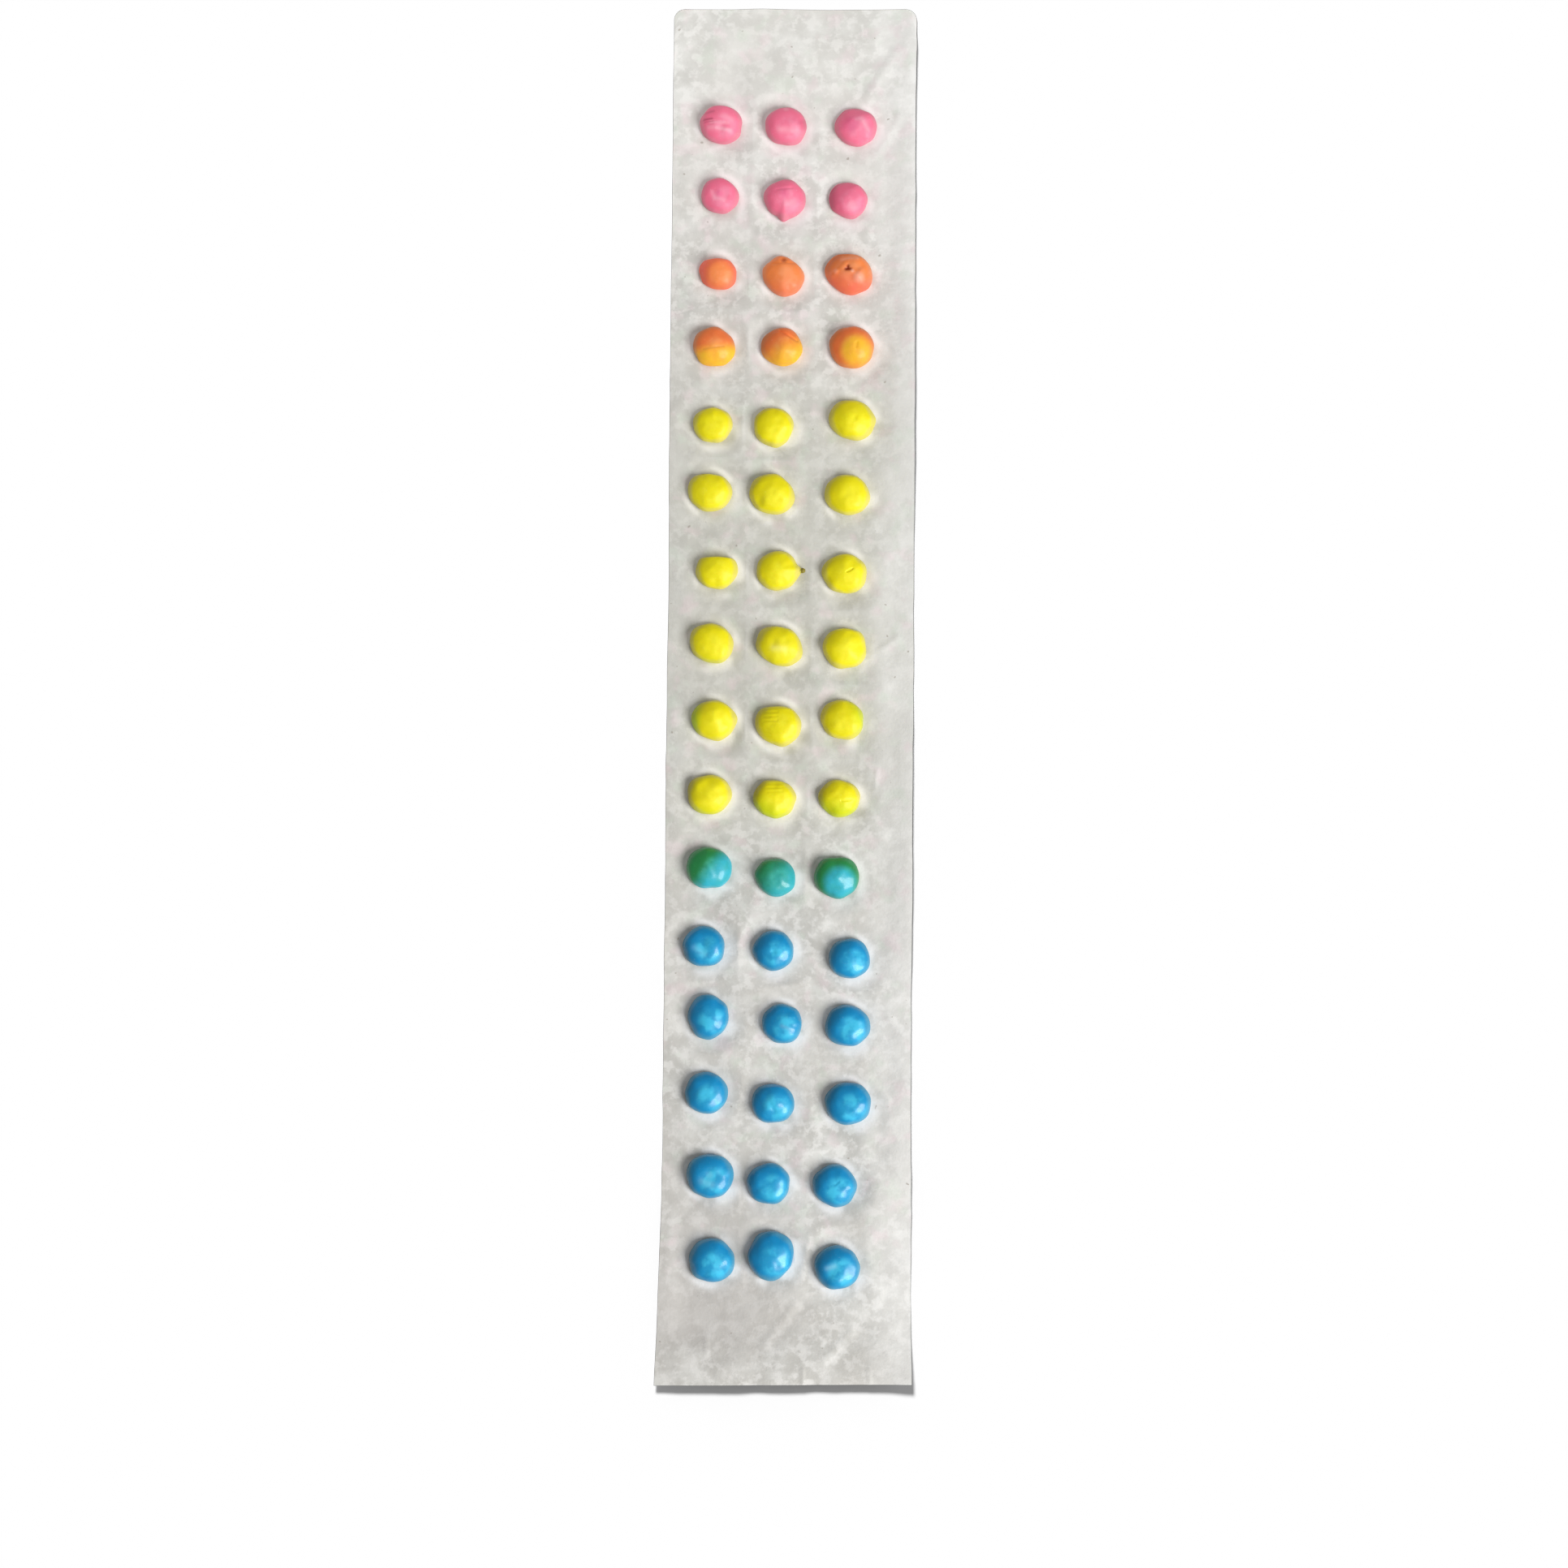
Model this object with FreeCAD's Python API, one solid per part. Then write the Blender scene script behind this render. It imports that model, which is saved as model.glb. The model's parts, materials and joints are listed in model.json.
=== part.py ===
import FreeCAD, Part
import math
import os

# A strip of candy buttons: forty-eight sugar drops, sixteen rows of three, dried onto one paper tape.
# Millimetres. The strip lies flat, candy side up. The origin is at the middle of the paper's underside,
# +X runs across the strip, +Y along it towards the pink head end, and +Z up out of the paper.
#
# The paper is one continuous sheet. It is modelled as a row of flat bands, which meet at bend lines
# midway between two rows of buttons, so that the strip can curl. Each button is a piece of its own.

# --- driving dimensions -----------------------------------------------------------------------------

INCH = 25.4
PAPER_WIDTH = 2.0 * INCH
PAPER_LENGTH = 11.25 * INCH
PAPER_THICKNESS = 0.12
HEAD_CORNER_RADIUS = 2.0

ROW_COUNT = 16
ROW_PITCH = 15.65
FIRST_ROW_FROM_HEAD = 24.8                      # the bare head margin, up to the middle of row 1
COLUMN_X = {"left": -16.1, "centre": -2.7, "right": 11.4}

BEND_SLOT = 0.08                                # clearance across a bend line, so that bands don't cut in

# Every button stands a little over a third of its own diameter.
HEIGHT_TO_DIAMETER = 0.375
FOOT_RADIUS_TO_HEIGHT = 0.30                    # the rounded lower edge where the drop met the paper

# How many rows of buttons each paper band carries, from the head end to the tail end. The first and the
# last band also hold the bare margin beyond their row.
ROWS_PER_BAND = (1, 1, 1, 1, 2, 2, 2, 2, 1, 1, 1, 1)

# Each button as it fell: (drift along X, drift along Y, diameter), from where its column crosses its row.
DROPS = (
    {"left": (0.8, -0.1, 8.5), "centre": (0.9, -0.4, 8.4), "right": (1.4, -0.5, 8.4)},
    {"left": (0.6, 0.5, 7.7), "centre": (0.8, -0.1, 8.4), "right": (-0.1, -0.3, 7.8)},
    {"left": (0.4, -0.1, 7.5), "centre": (0.6, -0.7, 8.3), "right": (0.2, -0.2, 9.2)},
    {"left": (-0.3, -0.1, 8.5), "centre": (0.4, 0.0, 8.3), "right": (0.8, 0.0, 9.1)},
    {"left": (-0.4, -0.8, 7.8), "centre": (-1.2, -1.1, 8.2), "right": (0.9, 0.4, 8.9)},
    {"left": (-0.9, 0.9, 8.7), "centre": (-1.4, 0.4, 8.9), "right": (0.1, 0.4, 8.9)},
    {"left": (0.7, 0.1, 8.2), "centre": (-0.1, 0.1, 8.5), "right": (-0.3, -0.4, 8.7)},
    {"left": (-0.2, 0.6, 8.7), "centre": (0.4, 0.1, 8.9), "right": (-0.2, -0.1, 9.0)},
    {"left": (0.4, 0.3, 8.7), "centre": (0.3, -0.5, 9.1), "right": (-0.6, 0.6, 8.6)},
    {"left": (-0.4, 0.6, 8.7), "centre": (-0.4, -0.2, 8.3), "right": (-1.1, 0.0, 8.1)},
    {"left": (-0.3, 1.1, 9.0), "centre": (0.0, -0.7, 8.1), "right": (-1.5, -0.6, 9.0)},
    {"left": (-1.2, 0.6, 8.6), "centre": (-0.3, -0.1, 8.3), "right": (1.2, -1.6, 8.4)},
    {"left": (-0.2, 1.9, 8.8), "centre": (1.6, 0.6, 8.2), "right": (0.9, 0.3, 8.9)},
    {"left": (-0.4, 2.0, 8.7), "centre": (-0.2, 0.1, 8.6), "right": (1.1, 0.1, 9.1)},
    {"left": (0.5, 0.8, 9.4), "centre": (-0.9, -0.7, 8.6), "right": (-1.5, -1.0, 8.8)},
    {"left": (1.0, -0.7, 9.2), "centre": (-0.3, 0.4, 9.7), "right": (-0.9, -1.9, 9.1)},
)

UP = FreeCAD.Vector(0, 0, 1)


# --- the paper tape ---------------------------------------------------------------------------------

def row_y(row):
    """The row's centre line. Rows count from 1, at the head end."""
    return PAPER_LENGTH / 2.0 - FIRST_ROW_FROM_HEAD - (row - 1) * ROW_PITCH


def band_ends():
    """(y nearer the head, y nearer the tail) of each paper band, with half a slot off at each bend line."""
    ends = []
    rows_before = 0
    for rows in ROWS_PER_BAND:
        head_y = row_y(rows_before + 1) + ROW_PITCH / 2.0 - BEND_SLOT / 2.0
        rows_before += rows
        tail_y = row_y(rows_before) - ROW_PITCH / 2.0 + BEND_SLOT / 2.0
        ends.append([head_y, tail_y])
    ends[0][0] = PAPER_LENGTH / 2.0
    ends[-1][1] = -PAPER_LENGTH / 2.0
    return ends


def paper_band(head_y, tail_y):
    """A flat rectangle of the tape, its underside at z = 0."""
    corner = FreeCAD.Vector(-PAPER_WIDTH / 2.0, tail_y, 0)
    return Part.makeBox(PAPER_WIDTH, head_y - tail_y, PAPER_THICKNESS, corner)


def round_head_corners(band):
    """Round the two upright edges at the head end. The tail end's corners are sharp."""
    corners = [
        edge for edge in band.Edges
        if abs(edge.BoundBox.YMin - PAPER_LENGTH / 2.0) < BEND_SLOT
        and edge.BoundBox.ZLength > PAPER_THICKNESS / 2.0
    ]
    return band.makeFillet(HEAD_CORNER_RADIUS, corners)


# --- the candy buttons ------------------------------------------------------------------------------

def button(diameter):
    """A flat-based drop of hard icing: a rounded foot, then one crown arc over the top, turned about Z."""
    radius = diameter / 2.0
    height = diameter * HEIGHT_TO_DIAMETER
    foot_radius = height * FOOT_RADIUS_TO_HEIGHT
    flat = radius - foot_radius
    foot_middle = FreeCAD.Vector(flat, 0, foot_radius)

    # The crown is an arc about a point on the axis. It leaves the foot arc along a common tangent, so its
    # centre, the foot's centre and the point where they meet lie on one line.
    drop = height - foot_radius
    crown_radius = (flat ** 2 + drop ** 2 - foot_radius ** 2) / (2.0 * (drop - foot_radius))
    crown_centre_z = height - crown_radius
    lean = math.atan2(flat, foot_middle.z - crown_centre_z)
    meeting = FreeCAD.Vector(
        flat + foot_radius * math.sin(lean), 0, foot_middle.z + foot_radius * math.cos(lean)
    )
    contact = FreeCAD.Vector(flat, 0, 0)
    widest = FreeCAD.Vector(radius, 0, foot_radius)
    crown_middle = FreeCAD.Vector(
        crown_radius * math.sin(lean / 2.0), 0, crown_centre_z + crown_radius * math.cos(lean / 2.0)
    )
    base = FreeCAD.Vector(0, 0, 0)
    top = FreeCAD.Vector(0, 0, height)
    outline = Part.Wire([
        Part.makeLine(base, contact),
        Part.Arc(contact, widest, meeting).toShape(),
        Part.Arc(meeting, crown_middle, top).toShape(),
        Part.makeLine(top, base),
    ])
    return Part.Face(outline).revolve(base, UP, 360.0)


def placed_button(row, column):
    """The button of one row and column, sitting on the paper's upper face."""
    drift_x, drift_y, diameter = DROPS[row - 1][column]
    drop = button(diameter)
    drop.translate(FreeCAD.Vector(COLUMN_X[column] + drift_x, row_y(row) + drift_y, PAPER_THICKNESS))
    return drop


# --- writing ----------------------------------------------------------------------------------------

def write(name, shape):
    if not shape.isValid():
        raise ValueError(f"{name} is not a valid solid")
    shape.exportStep(os.path.join("parts", name + ".step"))


def main():
    os.makedirs("parts", exist_ok=True)
    for number, (head_y, tail_y) in enumerate(band_ends(), start=1):
        band = paper_band(head_y, tail_y)
        if number == 1:
            band = round_head_corners(band)
        write(f"paper_band_{number:02d}", band)
    for row in range(1, ROW_COUNT + 1):
        for column in COLUMN_X:
            write(f"button_r{row:02d}_{column}", placed_button(row, column))


main()
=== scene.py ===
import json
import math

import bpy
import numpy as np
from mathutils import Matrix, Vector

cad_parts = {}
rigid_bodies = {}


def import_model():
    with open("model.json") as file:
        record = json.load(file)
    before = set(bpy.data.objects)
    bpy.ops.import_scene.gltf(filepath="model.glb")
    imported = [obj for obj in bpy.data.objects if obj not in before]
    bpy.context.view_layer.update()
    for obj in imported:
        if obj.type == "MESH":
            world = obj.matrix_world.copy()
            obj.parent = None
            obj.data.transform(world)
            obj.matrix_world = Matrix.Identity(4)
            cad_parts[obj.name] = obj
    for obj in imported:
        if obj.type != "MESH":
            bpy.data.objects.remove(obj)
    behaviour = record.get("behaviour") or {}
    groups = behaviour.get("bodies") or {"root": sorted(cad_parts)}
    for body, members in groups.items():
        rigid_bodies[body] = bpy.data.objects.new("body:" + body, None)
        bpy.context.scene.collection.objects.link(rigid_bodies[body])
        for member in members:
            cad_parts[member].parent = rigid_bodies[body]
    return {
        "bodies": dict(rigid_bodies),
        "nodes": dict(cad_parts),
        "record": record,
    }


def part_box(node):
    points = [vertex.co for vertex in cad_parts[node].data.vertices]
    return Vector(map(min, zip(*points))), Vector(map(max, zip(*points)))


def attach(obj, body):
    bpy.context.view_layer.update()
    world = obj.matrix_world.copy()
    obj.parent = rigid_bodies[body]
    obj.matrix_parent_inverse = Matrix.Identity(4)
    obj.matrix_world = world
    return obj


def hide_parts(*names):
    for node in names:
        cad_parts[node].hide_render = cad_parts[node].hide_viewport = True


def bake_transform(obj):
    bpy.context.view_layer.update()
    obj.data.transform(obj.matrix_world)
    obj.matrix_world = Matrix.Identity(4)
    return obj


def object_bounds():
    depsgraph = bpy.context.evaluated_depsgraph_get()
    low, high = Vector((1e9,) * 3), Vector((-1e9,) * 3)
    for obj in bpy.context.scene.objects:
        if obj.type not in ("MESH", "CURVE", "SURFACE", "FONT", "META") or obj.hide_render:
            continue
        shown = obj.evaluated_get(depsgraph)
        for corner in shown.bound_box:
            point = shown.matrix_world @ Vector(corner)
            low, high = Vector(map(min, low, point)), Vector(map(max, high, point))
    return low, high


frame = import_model()

# A strip of candy buttons: hard sugar drops on a cockled paper tape. Metres, in the imported frame: +X runs
# across the strip, +Y along it towards the pink head end, +Z up, and the paper's underside lies at z = 0.
#
# The paper is drawn in lengths that meet in the middle of a CAD band, with one joint inside each length. Each
# button is an irregular drop of its own, built on the CAD button it stands for.

MM = 0.001
cad_low, cad_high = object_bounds()

BANDS = sorted(name for name in frame["nodes"] if name.startswith("paper_band_"))
BUTTONS = sorted(name for name in frame["nodes"] if name.startswith("button_"))
BUTTON_SLOTS = {
    part["node"]: part["material_slot"]
    for part in frame["record"]["subparts"] if part["node"] in BUTTONS
}
HALF_WIDTH = cad_high.x
HEAD_Y = cad_high.y
TAIL_Y = cad_low.y
PAPER_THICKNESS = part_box(BANDS[0])[1].z


class Spot:
    """Where one CAD button stands: its middle on the paper, its radius and its height."""

    def __init__(self, name):
        low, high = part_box(name)
        self.name = name
        self.x = (low.x + high.x) / 2
        self.y = (low.y + high.y) / 2
        self.radius = (high.x - low.x) / 2
        self.height = high.z - low.z


SPOTS = [Spot(name) for name in BUTTONS]


# --- numbers that look random, the same on each run -------------------------

def ease(t):
    """0 to 1 with no corner at either end."""
    t = np.clip(t, 0.0, 1.0)
    return t * t * (3 - 2 * t)


LATTICE_SIZE = 1024
COLUMN_STRIDE = 57                # how far apart neighbouring columns and rows are looked up in the lattice
ROW_STRIDE = 131


def smooth_noise(x, y, size, seed):
    """Smooth noise from -1 to 1 whose lumps are about size across."""
    lattice = np.random.RandomState(seed).uniform(-1, 1, LATTICE_SIZE)
    column, row = np.floor(x / size), np.floor(y / size)
    across, along = ease(x / size - column), ease(y / size - row)

    def corner(i, j):
        place = (column + i) * COLUMN_STRIDE + (row + j) * ROW_STRIDE
        return lattice[place.astype(int) % LATTICE_SIZE]

    near = corner(0, 0) * (1 - across) + corner(1, 0) * across
    far = corner(0, 1) * (1 - across) + corner(1, 1) * across
    return near * (1 - along) + far * along


def waves(x, y, height, size, seed):
    """Smooth noise from -height to height."""
    return height * smooth_noise(x, y, size, seed)


# --- meshes -----------------------------------------------------------------

def make_mesh(name, points, faces, place=(0, 0, 0)):
    mesh = bpy.data.meshes.new(name)
    mesh.from_pydata(points.tolist(), [], faces)
    mesh.update()
    mesh.shade_smooth()
    made = bpy.data.objects.new(name, mesh)
    made.location = place
    bpy.context.scene.collection.objects.link(made)
    return made


def store(mesh, name, kind, values):
    """Keep one value, or one vector or colour, for each vertex, for the material to read."""
    attribute = mesh.attributes.new(name, kind, "POINT")
    field = {"FLOAT": "value", "FLOAT_VECTOR": "vector", "FLOAT_COLOR": "color"}[kind]
    attribute.data.foreach_set(field, np.asarray(values, np.float32).ravel())


# --- the paper --------------------------------------------------------------

GRID = 0.5 * MM                   # the spacing of the sheet's grid lines
HEAD_CORNER = 2.4 * MM            # the radius of the two corners at the head end
INNER_COLUMNS = 93
CORNER_COLUMNS = 8
PUCKER_REACH = 4.6 * MM           # the paper is flat under a button and free again this far out
CREASES = (                       # small dents and folds: (x0, y0, x1, y1, height, width) in millimetres
    (-7.7, 34.2, -5.0, 34.5, 0.26, 0.5), (18.0, -17.0, 17.4, -21.5, 0.14, 0.5),
    (-16.0, -133.0, -15.9, -136.5, 0.12, 0.5), (3.6, -139.6, 3.6, -142.6, 0.16, 0.4),
    (17.0, -139.8, 17.2, -142.6, 0.12, 0.4), (14.0, 122.0, 21.0, 133.5, 0.22, 1.2),
    (17.0, 112.0, 22.0, 120.0, 0.18, 1.0), (-21.0, 98.0, -16.0, 88.0, 0.12, 0.9),
    (12.5, 4.0, 22.0, 10.5, 0.20, 0.8), (-6.0, -62.0, 4.0, -60.5, 0.12, 0.8),
    (14.5, -78.0, 20.5, -84.5, 0.14, 0.8), (-22.0, 44.0, -19.0, 52.0, 0.16, 0.9),
    (-4.0, -134.0, 2.0, -126.5, 0.16, 1.0), (8.0, -137.5, 13.5, -131.5, 0.16, 1.0),
)


def distance_to_line(x, y, x0, y0, x1, y1):
    length_squared = (x1 - x0) ** 2 + (y1 - y0) ** 2
    along = np.clip(((x - x0) * (x1 - x0) + (y - y0) * (y1 - y0)) / length_squared, 0, 1)
    return np.hypot(x - x0 - along * (x1 - x0), y - y0 - along * (y1 - y0))


# The sheet's waves: (height, size, seed) of each layer.
SMALL_COCKLES = (0.22 * MM, 6.5 * MM, 5)
FINE_COCKLES = (0.10 * MM, 3.1 * MM, 8)
COCKLE_HEIGHT = 0.55 * MM         # the broad cockles, which only rise,
COCKLE_PATTERN = (0.6, 13 * MM, 3)
COCKLE_COVER = 0.55               # and the middle of their pattern: more than 0.5 raises most of the sheet
CURL_PATTERN = (1, 31 * MM, 12)   # where along the strip the long edges curl up
CALM_FROM = 0.8                   # the sheet lies calmer beyond this share of its half width,
CALM_HEAD = 9 * MM                # and this near its head end,
CALMED = 0.85                     # where this share of the smaller cockles is gone,
CALMED_BROAD = 0.7                # and this share of the broad ones, at the head end only
EDGE_CURL = {"left": 0.2 * MM, "right": 0.75 * MM}
CURL_FROM = 0.72                  # the long edges curl up beyond this share of the half width
PUCKER_HEIGHT = 0.04 * MM         # a faint ring stands up round each button,
PUCKER_RADIUS = 2.2 * MM          # this far out from its edge,
PUCKER_WIDTH = 1.2 * MM           # and about this wide
HELD_RADIUS = 1.03                # how far out a button holds the paper down, in its own radii
TAIL_CURL = 1.5 * MM              # how far the tail end lifts
TAIL_CURL_POWER = 1.5


def by_side(x, amounts):
    """The amount for the left or for the right half of the sheet."""
    return np.where(x < 0, amounts["left"], amounts["right"])


def cockles(x, y):
    """The sheet's waves and the curl of its long edges, both calmer near the head end."""
    edge = np.abs(x) / HALF_WIDTH
    near_head = ease(1 - (HEAD_Y - y) / CALM_HEAD)
    calm = 1 - CALMED * np.maximum(ease((edge - CALM_FROM) / (1 - CALM_FROM)), near_head)
    calm_broad = 1 - CALMED_BROAD * near_head
    height = COCKLE_HEIGHT * ease(COCKLE_COVER + waves(x, y, *COCKLE_PATTERN)) * calm_broad
    height += calm * waves(x, y, *SMALL_COCKLES)
    height += calm * waves(x, y, *FINE_COCKLES)
    curled = ease((edge - CURL_FROM) / (1 - CURL_FROM)) * ease(0.5 + waves(x, y, *CURL_PATTERN))
    return height + by_side(x, EDGE_CURL) * calm_broad * curled


def creases(x, y):
    total = np.zeros_like(x)
    for x0, y0, x1, y1, height, width in CREASES:
        apart = distance_to_line(x, y, x0 * MM, y0 * MM, x1 * MM, y1 * MM)
        total += height * MM * np.exp(-(apart / (width * MM)) ** 2)
    return total


def paper_lift(x, y):
    """How far the sheet stands off the table. It only touches down under its buttons."""
    height = cockles(x, y) + creases(x, y)
    free = np.ones_like(x)
    for spot in SPOTS:
        gap = np.hypot(x - spot.x, y - spot.y) - spot.radius * HELD_RADIUS
        free = np.minimum(free, ease(gap / PUCKER_REACH))
        height += PUCKER_HEIGHT * np.exp(-((gap - PUCKER_RADIUS) / PUCKER_WIDTH) ** 2)
    last_row_y = min(spot.y - spot.radius for spot in SPOTS)
    tail_curl = TAIL_CURL * ease((last_row_y - y) / (last_row_y - TAIL_Y)) ** TAIL_CURL_POWER
    return np.maximum(height, 0) * free + tail_curl


EDGE_WANDER = (0.18 * MM, 21 * MM, 17)
EDGE_ROUGHNESS = (0.06 * MM, 4 * MM, 19)
WANDER_APART = 9                  # how far from the middle each edge's own noise is looked up
ROUGHNESS_APART = 5
FRAY = (0.14 * MM, 7 * MM, 23)
TAIL_FLARE = {"left": 1.3 * MM, "right": 0.5 * MM}
FLARE_FROM_Y = -92 * MM
FLARE_LENGTH = 51 * MM
FLARE_POWER = 1.4
SHIFT_FROM = 0.6                  # the sheet widens with its edges beyond this share of the half width
TAIL_CUT = 0.6 * MM               # how much shorter than nominal the tail was cut, on the middle line,
TAIL_SKEW = 0.35 * MM             # and how much more at its right edge, and less at its left
END_REACH = 12 * MM               # how far from an end the grid gives way to its cut


def paper_edge_shift(x, y):
    """The sheet was cut by hand: its long edges wander, and it flares at the tail, more on the left."""
    side = ease((np.abs(x) / HALF_WIDTH - SHIFT_FROM) / (1 - SHIFT_FROM)) * np.sign(x)
    wander = waves(WANDER_APART * np.sign(x), y, *EDGE_WANDER)
    wander += waves(ROUGHNESS_APART * np.sign(x), y, *EDGE_ROUGHNESS)
    flare = np.clip((FLARE_FROM_Y - y) / FLARE_LENGTH, 0, 1) ** FLARE_POWER
    return side * (wander + by_side(x, TAIL_FLARE) * flare)


def end_shift(x, y):
    """Rounds the two corners at the head end and frays its edge a little. The tail is cut short, and skew."""
    into_corner = np.clip(np.abs(x) - (HALF_WIDTH - HEAD_CORNER), 0, HEAD_CORNER)
    round_off = HEAD_CORNER - np.sqrt(HEAD_CORNER ** 2 - into_corner ** 2)
    fray = FRAY[0] + waves(x, 0 * x, *FRAY)
    cut_back = TAIL_CUT + TAIL_SKEW * x / HALF_WIDTH
    near_head = ease(1 - (HEAD_Y - y) / END_REACH)
    near_tail = ease(1 - (y - TAIL_Y) / END_REACH)
    return cut_back * near_tail - (round_off + fray) * near_head


def paper_point(x, y):
    """The sheet's upper surface at one place of the flat grid."""
    lift = paper_lift(x, y)
    return np.stack([x + paper_edge_shift(x, y), y + end_shift(x, y), PAPER_THICKNESS + lift], -1)


def paper_normals(x, y):
    """The surface's direction, from its slope, so that two lengths shade alike where they meet."""
    step = GRID / 2
    across = paper_point(x + step, y) - paper_point(x - step, y)
    along = paper_point(x, y + step) - paper_point(x, y - step)
    normal = np.cross(across, along)
    return normal / np.linalg.norm(normal, axis=-1, keepdims=True)


def grid_columns():
    """Grid lines across the sheet, closer together inside the rounded corners."""
    inner = np.linspace(-HALF_WIDTH + HEAD_CORNER, HALF_WIDTH - HEAD_CORNER, INNER_COLUMNS)
    turn = np.linspace(0, math.pi / 2, CORNER_COLUMNS + 1)[1:]
    outer = HALF_WIDTH - HEAD_CORNER + HEAD_CORNER * np.sin(turn)
    return np.concatenate([-outer[::-1], inner, outer])


BLEED_DRIFT = (1.0 * MM, 2.6 * MM, 29)
BLEED_STRENGTH = 0.035            # the faint ring of colour round a button,
BLEED_REACH = 2.2 * MM            # and how far out it goes
PRINT_STRENGTH = 0.42             # the print that shows when the button is peeled off,
PRINT_INSET = 1.4 * MM            # how far inside the button's edge it starts to fade,
PRINT_FADE = 0.8 * MM             # and over what distance
HALO_RADIUS = 0.6 * MM            # the middle of the dust ring, out from the button's edge
HALO_WIDTH = 0.7 * MM
LIT_SIDE_WIDTH = 0.8 * MM              # how much wider the dust ring is on each button's lower right, where it is painted light,
LIT_SIDE_STRENGTH = 0.6                # and how much stronger
DUST_PATTERN = (0.7, 2.6 * MM, 31)


def bleed(x, y):
    """The colour that each button leaves in the paper: a faint ring outside it, and a stained print below."""
    colour = np.zeros(x.shape + (3,))
    strength = np.zeros_like(x)
    drift = waves(x, y, *BLEED_DRIFT)
    for spot in SPOTS:
        sugar = linear(SUGARS[BUTTON_SLOTS[spot.name]]["base"])
        gap = np.hypot(x - spot.x, y - spot.y) - spot.radius + drift
        ring = BLEED_STRENGTH * (1 - ease(gap / BLEED_REACH))
        under = PRINT_STRENGTH * (1 - ease((gap + PRINT_INSET) / PRINT_FADE))
        amount = np.maximum(ring, under)
        colour = np.where((amount > strength)[..., None], sugar, colour)
        strength = np.maximum(strength, amount)
    return np.concatenate([colour, strength[..., None]], -1)


def halo(x, y):
    """A paler ring of sugar dust round each button, from 0 to 1, broader and stronger on its lower right, the
    side towards the key light, where it is painted light.
    """
    ring = np.zeros_like(x)
    for spot in SPOTS:
        gap = np.hypot(x - spot.x, y - spot.y) - spot.radius
        # Painted light: the ring is broader and stronger on the button's lower right, towards the key light.
        lit_side = ease(((x - spot.x) - (y - spot.y)) / (2 * spot.radius))
        width = HALO_WIDTH + LIT_SIDE_WIDTH * lit_side
        strength = 1 + LIT_SIDE_STRENGTH * lit_side
        ring = np.maximum(ring, strength * np.exp(-((gap - HALO_RADIUS) / width) ** 2))
    return np.minimum(ring * ease(0.5 + waves(x, y, *DUST_PATTERN)), 1)


def sheet_faces(wide, long):
    """Faces of a closed sheet: its upper grid of points, wide by long, its lower grid, and its rim."""
    count = wide * long
    faces = []
    for j in range(long - 1):
        for i in range(wide - 1):
            a = j * wide + i
            faces.append((a, a + wide, a + wide + 1, a + 1))
            faces.append((a + count, a + count + 1, a + count + wide + 1, a + count + wide))
    rim = list(range(wide))
    rim += [j * wide + wide - 1 for j in range(1, long)]
    rim += [(long - 1) * wide + i for i in range(wide - 2, -1, -1)]
    rim += [j * wide for j in range(long - 2, 0, -1)]
    for here, there in zip(rim, rim[1:] + rim[:1]):
        faces.append((here, there, there + count, here + count))
    return faces


SHOW_THROUGH = 0.3                # how much of a stain shows on the back of the sheet


def paint_sheet(mesh, x, y):
    """What the paper's material reads: the place on the flat sheet, the stains and the sugar dust ring, which
    is painted light where it is broader on each button's lower right. The back has its own stretch of
    blotches, a fainter stain and no dust."""
    front = np.stack([x, y, 0 * x], -1).reshape(-1, 3)
    back = front - (0, 0, HALF_WIDTH)
    store(mesh, "sheet_place", "FLOAT_VECTOR", np.concatenate([front, back]))
    stain = bleed(x, y).reshape(-1, 4)
    store(mesh, "bleed", "FLOAT_COLOR", np.concatenate([stain, stain * (1, 1, 1, SHOW_THROUGH)]))
    # The dust ring, painted light where it is broader on each button's lower right.
    dust = halo(x, y).ravel()
    store(mesh, "halo", "FLOAT", np.concatenate([dust, 0 * dust]))


def tape_length(name, head_y, tail_y):
    """One closed length of the sheet, between two lines across it."""
    columns = grid_columns()
    rows = np.linspace(head_y, tail_y, int(round((head_y - tail_y) / GRID)) + 1)
    x, y = np.meshgrid(columns, rows)
    upper = paper_point(x, y).reshape(-1, 3)
    lower = upper - (0, 0, PAPER_THICKNESS)
    made = make_mesh(name, np.concatenate([upper, lower]), sheet_faces(len(columns), len(rows)))
    normal = paper_normals(x, y).reshape(-1, 3)
    made.data.normals_split_custom_set_from_vertices(np.concatenate([normal, -normal]).tolist())
    paint_sheet(made.data, x, y)
    return made


def build_paper(material):
    """Lengths of the sheet, from the middle of one band to that of the next, with one joint inside each."""
    boxes = [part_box(name) for name in BANDS]
    middles = [(low.y + high.y) / 2 for low, high in boxes]
    cuts = [HEAD_Y] + middles[1:-1] + [TAIL_Y]
    for number in range(len(BANDS) - 1):
        length = tape_length(f"tape_{number + 1:02d}", cuts[number], cuts[number + 1])
        length.data.materials.append(material)
        stands_for = BANDS[number:number + 1] if number < len(BANDS) - 2 else BANDS[number:]
        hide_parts(*stands_for)
        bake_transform(length)


# --- the sugar buttons ------------------------------------------------------

SEGMENTS = 88
CROWN_RINGS = 30
FOOT_RINGS = 7
WIDEST = 0.17                     # the height of the widest ring, as a share of the button's height
FOOT_TUCK = 0.07                  # how far the contact patch lies inside it, as a share of the radius
GLUE_GAP = 0.03 * MM              # keeps the foot and the paper from touching


def bump(x, y, width, height):
    """A swelling, or a dent where height is negative. Places are in radii, heights in button heights."""
    return lambda px, py: height * np.exp(-((px - x) ** 2 + (py - y) ** 2) / width ** 2)


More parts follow.
